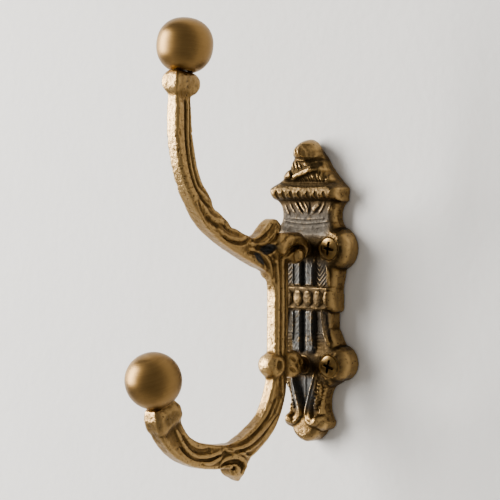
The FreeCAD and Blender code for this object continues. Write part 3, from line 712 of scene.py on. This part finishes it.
FINIAL_LINES = [
    (1, 1, [(-4.2, 45.2), (-1.3, 46.6), (3.5, 48.3), (7.4, 49.5), (9.6, 49), (10.9, 47.4), (11.2, 45.4)]),
    (0.9, 0.75, [(1, 50.8), (4.2, 50.3), (6.8, 51.3), (8.4, 50.9), (9.4, 49)]),
    (0.6, 0.7, [(-4.4, 51.3), (-3, 48.8)]),
    (0.6, 0.7, [(-2.7, 51.8), (-1.2, 48.4)]),
    (0.6, 0.6, [(-1, 51), (0.4, 48.7)]),
    (0.6, -0.6, [(-3.9, 53), (0.7, 52.5), (4.8, 52.3), (7, 51.8)]),
    (1, -0.6, [(-12.2, 45), (-6.8, 43.9), (1.4, 43.5), (9.6, 43.8), (12.6, 44.8)]),
    (0.5, -0.6, [(-8.6, 48.2), (-5.6, 48.8), (-4.2, 46.8), (-4.4, 44.8)]),
    (0.5, 0.5, [(-1.4, 56.4), (-0.6, 53.4)]),
    (0.5, 0.5, [(0.2, 56.6), (1, 53.2)]),
    (0.8, -0.8, [(3.9, 52.4), (3.9, 54.6), (3, 56.4), (1.2, 57.4)]),
]


def finial(x, z):
    """A pointed finial: a wave-like fold over a fluted hollow, leafy strokes, and a bulb on top."""
    half = 15.6 - 10.4 * ramp(41, 53, z)
    relief = 1.9 * np.sqrt(np.clip(1 - np.abs(x / half) ** 2.6, 0, 1)) - 0.1
    relief = relief * ramp(42.3, 46.5, z)
    raise_lines(relief, x, z, FINIAL_LINES, 1.3, 0.8)
    hump(relief, x, z, (-6.8, 46.8), 2.7, 1.8, 0.8)
    hollow = ramp(-4, -1, x) * ramp(10.6, 9.0, x)
    hollow = hollow * ramp(43.8, 44.6, z) * ramp(0, -1.0, z - 46.4 - 0.28 * x)
    wave = x + 0.3 * (z - 46) + 0.4 * np.sin(1.7 * x)
    relief += hollow * (-0.7 + 0.35 * np.abs(np.sin(math.pi * wave / 1.5)) ** 1.5)
    hump(relief, x, z, (0.6, 55.4), 5.4, 4.0, 2.1)
    relief -= 1.2 * ramp(54, 60, z)
    return relief


def foot(x, z):
    """Beaded filling of the two loops, a rolled flare below each, and a bud between."""
    side = np.abs(x)
    relief = blank(x)
    for k in range(BEAD_ROWS):
        level = -25.6 - 1.25 * k
        inner = 7.9 - 0.36 * k
        for column in range(3 if k < 4 else 2):
            bead = (inner + 1.9 * column, level - 0.5 * (column % 2))
            hump(relief, side, z, bead, 1.1, 0.75, 0.75, 35 * k)
    well = ramp(0, 0.8, side - 5.0 + 0.28 * (-25 - z))
    relief -= 0.55 * well * ramp(-24, -26, z) * ramp(-40, -38, z)
    hump(relief, side, z, (8.4, -41.0), 4.4, 2.5, 1.1)
    hump(relief, x, z, (0, -44.6), 6.0, 5.0, 1.0)
    return relief


def lobes(x, z):
    """How much the flat seats of the screws and bosses count at each place."""
    counts = blank(x)
    for level in (BOSS_Z, -BOSS_Z):
        for centre, (radius, slope) in ((SCREW_X, SCREW_SEAT), (-SCREW_X, SCREW_SEAT), (0, BOSS_SEAT)):
            far = np.hypot(x - centre, z - level)
            counts = np.maximum(counts, ramp(radius + slope, radius, far))
    return counts


def plate_height(x, z):
    """How far the front of the plate stands out from the wall."""
    side = np.abs(x)
    relief = sum(part(x, z) for part in (upper_shaft, lower_shaft, channel, band, collar, foot))
    relief = relief + np.where(z > 41.5, finial(x, z), 0)
    raise_lines(relief, side, z, PLATE_LINES, taper=1.0)
    raise_lines(relief, x, z, NECK_FRONDS, 1.3, 0.8)
    neck = ramp(25.2, 28.4, z) * ramp(39.4, 36.5, z)
    height = PLATE_PLAIN - NECK_SUNK * neck + relief
    seats = lobes(x, z)
    return height * (1 - seats) + PLATE_FACE * seats


def countersunk_hole(field, x, z):
    """The tapered hole for one wall screw."""
    r = np.hypot(field.a - x, field.c - z)
    return np.minimum(r - SCREW_HOLE, r - (field.b - PLATE_FACE) - COUNTERSINK)


def silver_share(x, z):
    """Where the patina is silver-blue: on the neck and down the channelled shafts."""
    side = np.abs(x)
    neck = ramp(23.5, 26.5, z) * ramp(39, 31, z) * ramp(13, 9, side)
    shafts = ramp(-39, -34, z) * ramp(18, 14, z) * ramp(6.0, 4.6, side)
    panels = ramp(-14, -8, z) * ramp(18, 14, z) * ramp(12, 10, side)
    plain = ramp(-2, -1, z) * ramp(8.4, 7.4, z)
    plain = plain + ramp(5.5, 3.5, np.abs(z + BOSS_Z))
    return np.maximum(0.6 * neck, np.maximum(shafts, 0.6 * panels) * (1 - 0.9 * plain))


def plate_wear(mesh):
    """Stores where the plate is lighter as painted light, where it is darker, and where it is silvery."""
    (across, _, up), normals = places_of(mesh)
    # Painted light: faces that look sideways get lighter brass, less so on the finial.
    flank = ramp(0.5, 0.9, np.abs(normals[0]))
    add_attribute(mesh, "rubbed_and_lit", flank * (1 - 0.5 * ramp(38, 43, up)))
    inland = ramp(7.5, 5.5, np.abs(across))
    add_attribute(mesh, "silver", silver_share(across, up) * ramp(0.0, 0.4, inland - normals[1]))
    # Darker in the middle of the plate and on faces that don't look sideways, less so towards the bottom
    # and the top.
    height_weight = (0.5 + 0.8 * ramp(-45, -20, up)) * (1 - 0.6 * ramp(50, 54, up))
    add_attribute(mesh, "darkened", ramp(0.2, 0.75, inland + 1 - np.abs(normals[0])) * height_weight)


def make_plate():
    field = Field((-20.6, -1.2, -49.8), (20.6, 11.4, 60.8), GRID)
    x, z = plane(field.a, field.c)
    edge = inside_out(x, z, plate_outline())[:, None, :]
    edge = edge + 1.7 * ramp(52, 57, z)[:, None, :] * ramp(3.4, 0, field.b) ** 2
    top = field.b - plate_height(x, z)[:, None, :]
    rounding = 2.6 + 1.4 * ramp(42, 46, z)[:, None, :]
    body = np.maximum(round_corner(edge, 0.8 * top, rounding), -field.b)

    side = np.abs(field.a)
    for low, high, half in BACK_HOLLOWS:
        middle = (low + high) / 2
        hollow = round_corner(side - half, np.abs(field.c - middle) - (high - low) / 2, 2.0)
        body = np.maximum(body, -round_corner(hollow, field.b - HOLLOW_DEEP, 0.8))
    for level in (BOSS_Z, -BOSS_Z):
        for sign in (-1, 1):
            body = np.maximum(body, -countersunk_hole(field, sign * SCREW_X, level))
        r = np.hypot(field.a, field.c - level)
        head = np.maximum(r - BOLT_HEAD_HOLE, field.b - BOLT_HEAD_DEEP)
        body = np.maximum(body, -np.minimum(r - BOLT_HOLE, head))

    body += 0.05 * grain(body.shape, field.step, 1.8, SEED + 2)
    body += 0.03 * grain(body.shape, field.step, 0.6, SEED + 3)
    plate = mesh_of("backplate_casting", field, body, upright)
    plate_wear(plate.data)
    return stand_for(plate, "antique_brass", "backplate")


# ---- wall screws
HEAD_RADIUS = 4.0
HEAD_DOME = 0.75
SHANK = 2.0
SHANK_NECK = 1.75
THREAD_STARTS = -13.0
THREAD_ENDS = -28.2
POINT = -32.2
PITCH = 1.9
CORE = 1.35
THREAD_HIGH = 0.65
CROSS_REACH = 2.5
CROSS_HALF = 0.48
CROSS_DEEP = 1.6
SCREW_TRIANGLES = 60000
QUARTER_TURN = Matrix.Rotation(math.radians(90), 4, "X")
SCREW_TURNS = {"upper_left": 20, "upper_right": 80, "lower_left": 64, "lower_right": 74}


def screw_mesh():
    """A raised countersunk wood screw along +Z, with a helical thread and a cross recess."""
    field = Field((-4.4, -4.4, -32.9), (4.4, 4.4, 1.6), SCREW_GRID)
    r, angle = np.hypot(field.a, field.b), np.arctan2(field.b, field.a)
    z = field.c
    crown = (HEAD_RADIUS ** 2 + HEAD_DOME ** 2) / (2 * HEAD_DOME)
    dome = np.sqrt(r * r + (z - HEAD_DOME + crown) ** 2) - crown
    cone = (r - HEAD_RADIUS - z) * math.sqrt(0.5)
    head = smooth_max(np.maximum(dome, cone), r - HEAD_RADIUS + 0.08, 0.2)

    fade = ramp(THREAD_STARTS + 1.5, THREAD_STARTS - 1, z) * ramp(POINT + 1, THREAD_ENDS, z)
    turn = (z / PITCH - angle / (2 * math.pi)) % 1
    ridge = np.clip(1 - np.abs(turn - 0.5) * 3.2, 0, 1)
    core = CORE * ramp(POINT - 2.5, THREAD_ENDS, z)
    threaded = r - core - THREAD_HIGH * ridge * fade
    plain = r - np.where(z > -PLATE_FACE, SHANK_NECK, SHANK)
    shank = np.where(z > THREAD_STARTS, plain, threaded)
    shank = np.maximum(np.maximum(shank, z + 1), POINT - z)

    u, v = np.abs(field.a), np.abs(field.b)
    reach = CROSS_REACH + 0.45 * (z - HEAD_DOME)
    cross = np.minimum(np.maximum(u - CROSS_HALF, v - reach), np.maximum(v - CROSS_HALF, u - reach))
    cross = smooth_max(cross, -CROSS_DEEP - z, 0.3)
    body = np.maximum(np.minimum(head, shank), -cross)
    return mesh_of("wall_screw_pattern", field, body, lambda p: p, SCREW_TRIANGLES)


def make_wall_screws():
    pattern = screw_mesh()
    screws = []
    for place, turn in SCREW_TURNS.items():
        node = "wall_screw_" + place
        middle = centre_of(node)
        screw = add_object("wood_screw_" + place, pattern.data)
        at = Vector((middle.x, -PLATE_FACE, middle.z)) * MM
        spin = Matrix.Rotation(math.radians(turn), 4, "Z")
        screw.matrix_world = Matrix.Translation(at) @ QUARTER_TURN @ spin
        screws.append(stand_for(screw, "screw_brass", node))
    bpy.data.objects.remove(pattern)
    return screws


# ---- balls
STUD_DEEP = 8.4
BALL_TURNS = 128
# How square each ball is, where 2 is round, and how high its upper half is.
BALL_SHAPES = {"upper": (2.2, 9.15), "lower": (2.03, 9.4)}


def ball_profile(n, half_high):
    """Half-section of a ball, as (radius, height), from the bottom of its stud hole to its top."""
    start = math.asin(NECK / BALL_RADIUS)
    rows = [(0.0, STUD_DEEP), (STUD_HOLE, STUD_DEEP), (STUD_HOLE, 0.0), (NECK - 0.25, 0.0), (NECK, 0.25),
            (NECK, NECK_LONG - 0.2)]
    for angle in np.linspace(start, math.pi, 64):
        s, c = math.sin(angle), -math.cos(angle)
        scale = BALL_RADIUS / (abs(s) ** n + abs(c) ** n) ** (1 / n)
        height = scale * c * (half_high / BALL_RADIUS if c > 0 else 1)
        rows.append((max(scale * s, 0.0) if angle < math.pi else 0.0, BALL_SEAT + height))
    return rows


def lathe(name, profile, turns):
    """A closed mesh turned about Z from (radius, height) rows that start and end on the axis."""
    points, faces = [], []
    for radius, height in profile[1:-1]:
        for k in range(turns):
            angle = 2 * math.pi * k / turns
            points.append((radius * math.cos(angle) * MM, radius * math.sin(angle) * MM, height * MM))
    first, last = len(points), len(points) + 1
    points += [(0, 0, profile[0][1] * MM), (0, 0, profile[-1][1] * MM)]
    rings = len(profile) - 2
    for k in range(turns):
        after = (k + 1) % turns
        top = (rings - 1) * turns
        faces += [(first, after, k), (last, top + k, top + after)]
        for ring in range(rings - 1):
            low, high = ring * turns, (ring + 1) * turns
            faces.append((low + k, low + after, high + after, high + k))
    mesh = bpy.data.meshes.new(name)
    mesh.from_pydata(points, [], faces)
    mesh.shade_smooth()
    mesh.set_sharp_from_angle(angle=math.radians(35))
    return add_object(name, mesh)


def make_balls():
    balls = []
    for which, shape in BALL_SHAPES.items():
        ball = lathe(which + "_turned_ball", ball_profile(*shape), BALL_TURNS)
        seat, axis = ball_seat(which)
        lean = math.atan2(axis[0], axis[1])
        place = Matrix.Translation(Vector((0, -seat[0], seat[1])) * MM)
        ball.matrix_world = place @ Matrix.Rotation(lean, 4, "X")
        balls.append(stand_for(ball, "satin_brass", which + "_ball"))
    return balls


# ---- materials
class Shader:
    """A node material put together around its own Principled BSDF."""

    def __init__(self, name, **constants):
        self.material = bpy.data.materials.new(name)
        self.material.use_nodes = True
        self.tree = self.material.node_tree
        self.surface = self.tree.nodes["Principled BSDF"]
        self.coordinates = self.node("TexCoord").outputs["Object"]
        for socket, value in constants.items():
            self.look(socket.replace("_", " "), value)

    def look(self, socket, value):
        self.put(self.surface, socket, value)

    def put(self, node, socket, value):
        target = node.inputs[socket]
        if isinstance(value, bpy.types.NodeSocket):
            self.tree.links.new(value, target)
        else:
            target.default_value = value

    def node(self, kind, **inputs):
        made = self.tree.nodes.new("ShaderNode" + kind)
        for socket, value in inputs.items():
            self.put(made, socket.replace("_", " "), value)
        return made

    def noise(self, scale, detail=3.0, stretch=None):
        """Noise of about 1/scale metres, which may be stretched along the piece's own axes."""
        where = self.coordinates
        if stretch:
            where = self.node("Mapping", Vector=where, Scale=stretch).outputs[0]
        return self.node("TexNoise", Vector=where, Scale=scale, Detail=detail).outputs["Fac"]

    def fact(self, name):
        made = self.node("Attribute")
        made.attribute_name = name
        return made.outputs["Fac"]

    def math(self, operation, a, b):
        made = self.node("Math")
        made.operation = operation
        self.put(made, 0, a)
        self.put(made, 1, b)
        return made.outputs[0]

    def product(self, a, b):
        return self.math("MULTIPLY", a, b)

    def sum(self, *terms):
        """Adds up (value, weight) pairs, and plain values."""
        terms = [self.product(*term) if isinstance(term, tuple) else term for term in terms]
        total = terms[0]
        for term in terms[1:]:
            total = self.math("ADD", total, term)
        return total

    def steps(self, value, low, high, out_low=0.0, out_high=1.0):
        """Maps low..high smoothly onto out_low..out_high."""
        made = self.node("MapRange", Value=value, From_Min=low, From_Max=high,
                         To_Min=out_low, To_Max=out_high)
        made.interpolation_type = "SMOOTHSTEP"
        return made.outputs["Result"]

    def blend(self, share, a, b):
        made = self.node("Mix")
        made.data_type = "RGBA"
        self.put(made, 0, share)
        self.put(made, 6, a)
        self.put(made, 7, b)
        return made.outputs[2]

    def bump(self, height, distance, strength=1.0, under=None):
        made = self.node("Bump", Height=height, Distance=distance, Strength=strength)
        if under is not None:
            self.put(made, "Normal", under)
        return made.outputs[0]


# Colours, linear.
# Lighter brass, for rubbed polish and for painted light.
RUBBED_AND_LIT_BRASS = (0.44, 0.30, 0.140, 1)
WORN_BRASS = (0.36, 0.240, 0.108, 1)
BROWN_BRASS = (0.23, 0.145, 0.058, 1)
UMBER = (0.155, 0.096, 0.038, 1)
# Darker brass, laid over the darkened places.
DARKENED_BRASS = (0.070, 0.047, 0.022, 1)
OLD_DIRT = (0.080, 0.053, 0.025, 1)
SILVER_GREY = (0.100, 0.097, 0.091, 1)
BLUE_BLACK = (0.026, 0.031, 0.037, 1)
SATIN_BRASS = ((0.215, 0.135, 0.055, 1), (0.28, 0.180, 0.076, 1))
YELLOW_BRASS = ((0.30, 0.205, 0.090, 1), (0.20, 0.133, 0.056, 1))
SCREW_DIRT = (0.05, 0.032, 0.016, 1)
ZINC = ((0.56, 0.57, 0.58, 1), (0.42, 0.43, 0.44, 1))
PALE_PAINT = ((0.74, 0.728, 0.706), (0.79, 0.778, 0.756))


def cast_brass(name):
    """Antique brass, bright on its crests and dark in its crevices; lighter where rubbed or where light is
    painted on, darker or silvery in places.
    """
    s = Shader(name, Metallic=1.0)
    fine, broad = s.fact("hollow_fine"), s.fact("hollow_broad")
    blotch, speck = s.noise(190, 4), s.noise(1500, 3)
    depth = s.sum((fine, 0.55), (broad, 0.55), (blotch, 0.55), (speck, 0.35), -0.42)
    crest = s.steps(s.sum((fine, -0.75), (broad, -0.35), (blotch, 0.5), (speck, 0.4)), 0.35, 1.15)
    tone = s.blend(s.steps(blotch, 0.35, 0.65), BROWN_BRASS, UMBER)
    tone = s.blend(crest, tone, WORN_BRASS)
    # Lighter brass where the mesh asks for it: rubbed polish on the arm's front, and painted light on the
    # arm's spine and the plate's flanks.
    rubbed_and_lit = s.product(s.fact("rubbed_and_lit"), s.steps(s.sum((blotch, 0.5), (fine, -0.5)), 0.05, 0.30))
    tone = s.blend(rubbed_and_lit, tone, RUBBED_AND_LIT_BRASS)
    # Darker brass where the mesh asks for it: patches on the arm, and the middle and forward faces of the
    # plate.
    patchy = s.steps(s.sum((blotch, 0.5), (fine, 0.45)), -0.30, 0.25, 0.15, 1.0)
    tone = s.blend(s.product(s.fact("darkened"), patchy), tone, DARKENED_BRASS)
    pits = s.steps(s.noise(1000, 1), 0.65, 0.71, 0.0, 0.65)
    dirt = s.node("Clamp", Value=s.sum(s.steps(depth, 0.25, 1.25, 0.0, 0.64), pits)).outputs[0]
    cloudy = s.steps(s.sum((blotch, 0.6), (speck, 0.4)), 0.28, 0.50)
    tone = s.blend(s.product(s.fact("silver"), cloudy), tone, SILVER_GREY)
    tone = s.blend(dirt, tone, s.blend(s.fact("silver"), OLD_DIRT, BLUE_BLACK))
    s.look("Base Color", tone)
    dull = s.sum(depth, (speck, 0.4), (s.fact("darkened"), 0.6), (s.fact("silver"), 0.4))
    s.look("Roughness", s.steps(dull, 0.0, 1.3, 0.32, 0.68))
    coarse = s.bump(s.sum(s.noise(800, 5), (pits, -0.5)), 0.00045, 0.7)
    s.look("Normal", s.bump(s.noise(3600, 3), 0.00010, 0.7, coarse))
    return s.material


def satin_brass(name):
    """Turned brass under a brown antique finish, with fine lines round the axis from brushing."""
    s = Shader(name, Metallic=1.0, Anisotropic=0.4)
    lines = s.noise(1.0, 4, (120, 120, 9000))
    streaks = s.sum((lines, 0.5), (s.noise(70, 3), 0.5))
    s.look("Base Color", s.blend(s.steps(streaks, 0.3, 0.7), *SATIN_BRASS))
    s.look("Roughness", s.steps(streaks, 0.3, 0.7, 0.34, 0.46))
    s.look("Normal", s.bump(lines, 0.000012, 0.5))
    turned = s.node("Tangent")
    turned.direction_type = "RADIAL"
    turned.axis = "Z"
    s.look("Tangent", turned.outputs[0])
    return s.material


def screw_brass(name):
    """Bright yellow brass, darker where polish and dust collect in the recess."""
    s = Shader(name, Metallic=1.0)
    fine, broad = s.fact("hollow_fine"), s.fact("hollow_broad")
    cloud, speck = s.noise(500, 3), s.noise(2600, 2)
    tone = s.blend(s.steps(cloud, 0.35, 0.7), *YELLOW_BRASS)
    dirt = s.steps(s.sum((fine, 0.6), (broad, 0.5), (speck, 0.3), -0.15), 0.12, 0.6)
    s.look("Base Color", s.blend(dirt, tone, SCREW_DIRT))
    s.look("Roughness", s.steps(s.sum((cloud, 0.7), (dirt, 0.4)), 0.3, 0.9, 0.36, 0.6))
    s.look("Normal", s.bump(speck, 0.00003, 0.5))
    return s.material


def zinc_steel(name):
    """Zinc-plated steel with a faint mottle."""
    s = Shader(name, Metallic=1.0)
    mottle, speck = s.noise(380, 4), s.noise(3000, 2)
    s.look("Base Color", s.blend(s.steps(mottle, 0.35, 0.65), *ZINC))
    s.look("Roughness", s.steps(s.sum((mottle, 0.6), (speck, 0.4)), 0.3, 0.7, 0.28, 0.48))
    s.look("Normal", s.bump(speck, 0.00002, 0.5))
    return s.material


def painted_wall(name, shade=1.0):
    """Pale matt paint over faint trowel marks, clear from behind so that the plate's back shows."""
    s = Shader(name, Roughness=0.85)
    s.look("Specular IOR Level", 0.2)
    cloud, fine = s.noise(9, 5), s.noise(260, 4)
    pale = [tuple(shade * part for part in tint) + (1,) for tint in PALE_PAINT]
    s.look("Base Color", s.blend(cloud, *pale))
    s.look("Normal", s.bump(s.sum((fine, 0.3), (s.noise(40, 4), 0.7)), 0.0012, 0.35))
    mix = s.node("MixShader", Fac=s.node("NewGeometry").outputs["Backfacing"])
    s.put(mix, 1, s.surface.outputs[0])
    s.put(mix, 2, s.node("BsdfTransparent").outputs[0])
    s.put(s.tree.nodes["Material Output"], "Surface", mix.outputs[0])
    return s.material


def paint(material, *pieces):
    for piece in pieces:
        piece.data.materials.clear()
        piece.data.materials.append(material)


# ---- stage, light and camera
# Right half of an opening in the wall, hidden behind the plate, that lets light reach the plate's back.
WALL_OPENING = [
    (0, -46), (6.4, -40), (6.2, -30), (14.5, -25), (16.6, -20.75), (14.5, -16), (9.3, -9), (9.3, 0),
    (9.3, 9), (14.5, 16), (16.6, 20.75), (14.5, 25), (10.4, 32), (12.6, 41), (6, 48), (3, 55), (0, 57)
]
WALL_RADIUS = 1.5
WALL_BEHIND = 0.0004     # metres from the plate's back to the wall
FLOOR_RADIUS = 1.4
FLOOR_AT = (0, -1.2, -1.1)
FLOOR_SHADE = 0.5
RIM_STEPS = 48
WORLD_COLOUR = (1.0, 0.975, 0.94, 1)
WORLD_GLOW = 0.38
KEY_AT = (-1.32, -0.92, 0.35)
KEY_TARGET = (0, -0.03, 0.01)
KEY_SIZE = (0.9, 1.4)
KEY_POWER = 69
KEY_COLOUR = (1.0, 0.985, 0.96)


def round_sheet(name, radius, matrix, material, opening=()):
    """A flat sheet inside a circle, which may have an opening given as its right half in millimetres."""
    rim = [(x, z) for x, z in opening] + [(-x, z) for x, z in opening[-2:0:-1]]
    turns = [math.atan2(z, x) for x, z in rim] or [2 * math.pi * k / RIM_STEPS for k in range(RIM_STEPS)]
    n = len(turns)
    points = [(radius * math.cos(t), radius * math.sin(t), 0) for t in turns]
    mesh = bpy.data.meshes.new(name)
    if opening:
        points += [(x * MM, z * MM, 0) for x, z in rim]
        mesh.from_pydata(points, [], [(k, (k + 1) % n, n + (k + 1) % n, n + k) for k in range(n)])
    else:
        mesh.from_pydata(points, [], [range(n)])
    sheet = add_object(name, mesh)
    sheet.matrix_world = matrix
    paint(material, sheet)


def aim(thing, target):
    thing.rotation_mode = "QUATERNION"
    thing.rotation_quaternion = (Vector(target) - thing.location).to_track_quat("-Z", "Y")


def make_stage():
    upright_at = Matrix.Translation((0, WALL_BEHIND, 0)) @ QUARTER_TURN
    round_sheet("wall", WALL_RADIUS, upright_at, painted_wall("pale_paint"), WALL_OPENING)
    floor_paint = painted_wall("floor_paint", FLOOR_SHADE)
    round_sheet("floor", FLOOR_RADIUS, Matrix.Translation(FLOOR_AT), floor_paint)


def make_light():
    world = bpy.data.worlds.new("studio")
    world.use_nodes = True
    background = world.node_tree.nodes["Background"]
    background.inputs["Color"].default_value = WORLD_COLOUR
    background.inputs["Strength"].default_value = WORLD_GLOW
    scene.world = world

    data = bpy.data.lights.new("key", "AREA")
    data.shape = "RECTANGLE"
    data.size, data.size_y = KEY_SIZE
    data.energy = KEY_POWER
    data.color = KEY_COLOUR
    light = add_object("key", data)
    light.location = KEY_AT
    aim(light, KEY_TARGET)


CAMERA_TARGET = Vector((0, -35.5, 20.8)) * MM
CAMERA_TURN = math.radians(42)
CAMERA_RISE = math.radians(2)
CAMERA_FAR = 0.70
FRAME_WIDE = 0.1725      # metres across the picture at the target
SENSOR = 36.0


def make_camera():
    data = bpy.data.cameras.new("camera")
    data.sensor_width = SENSOR
    data.lens = SENSOR * CAMERA_FAR / FRAME_WIDE
    data.clip_start, data.clip_end = 0.01, 20
    camera = add_object("camera", data)
    flat = math.cos(CAMERA_RISE)
    back = Vector((math.sin(CAMERA_TURN) * flat, -math.cos(CAMERA_TURN) * flat, math.sin(CAMERA_RISE)))
    camera.location = CAMERA_TARGET + CAMERA_FAR * back
    aim(camera, CAMERA_TARGET)
    scene.camera = camera


# ---- assembly
STEEL_NODES = ("upper_ball_stud", "lower_ball_stud", "arm_bolt_upper", "arm_bolt_lower",
               "spring_washer_upper", "spring_washer_lower")

paint(cast_brass("aged_cast_brass"), make_arm())
paint(cast_brass("aged_plate_brass"), make_plate())
paint(screw_brass("yellow_screw_brass"), *make_wall_screws())
paint(satin_brass("satin_antique_brass"), *make_balls())
paint(zinc_steel("zinc_plated_steel"), *(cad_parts[node] for node in STEEL_NODES))
make_stage()
make_light()
make_camera()
scene.view_settings.view_transform = "AgX"
scene.view_settings.look = "AgX - Medium High Contrast"
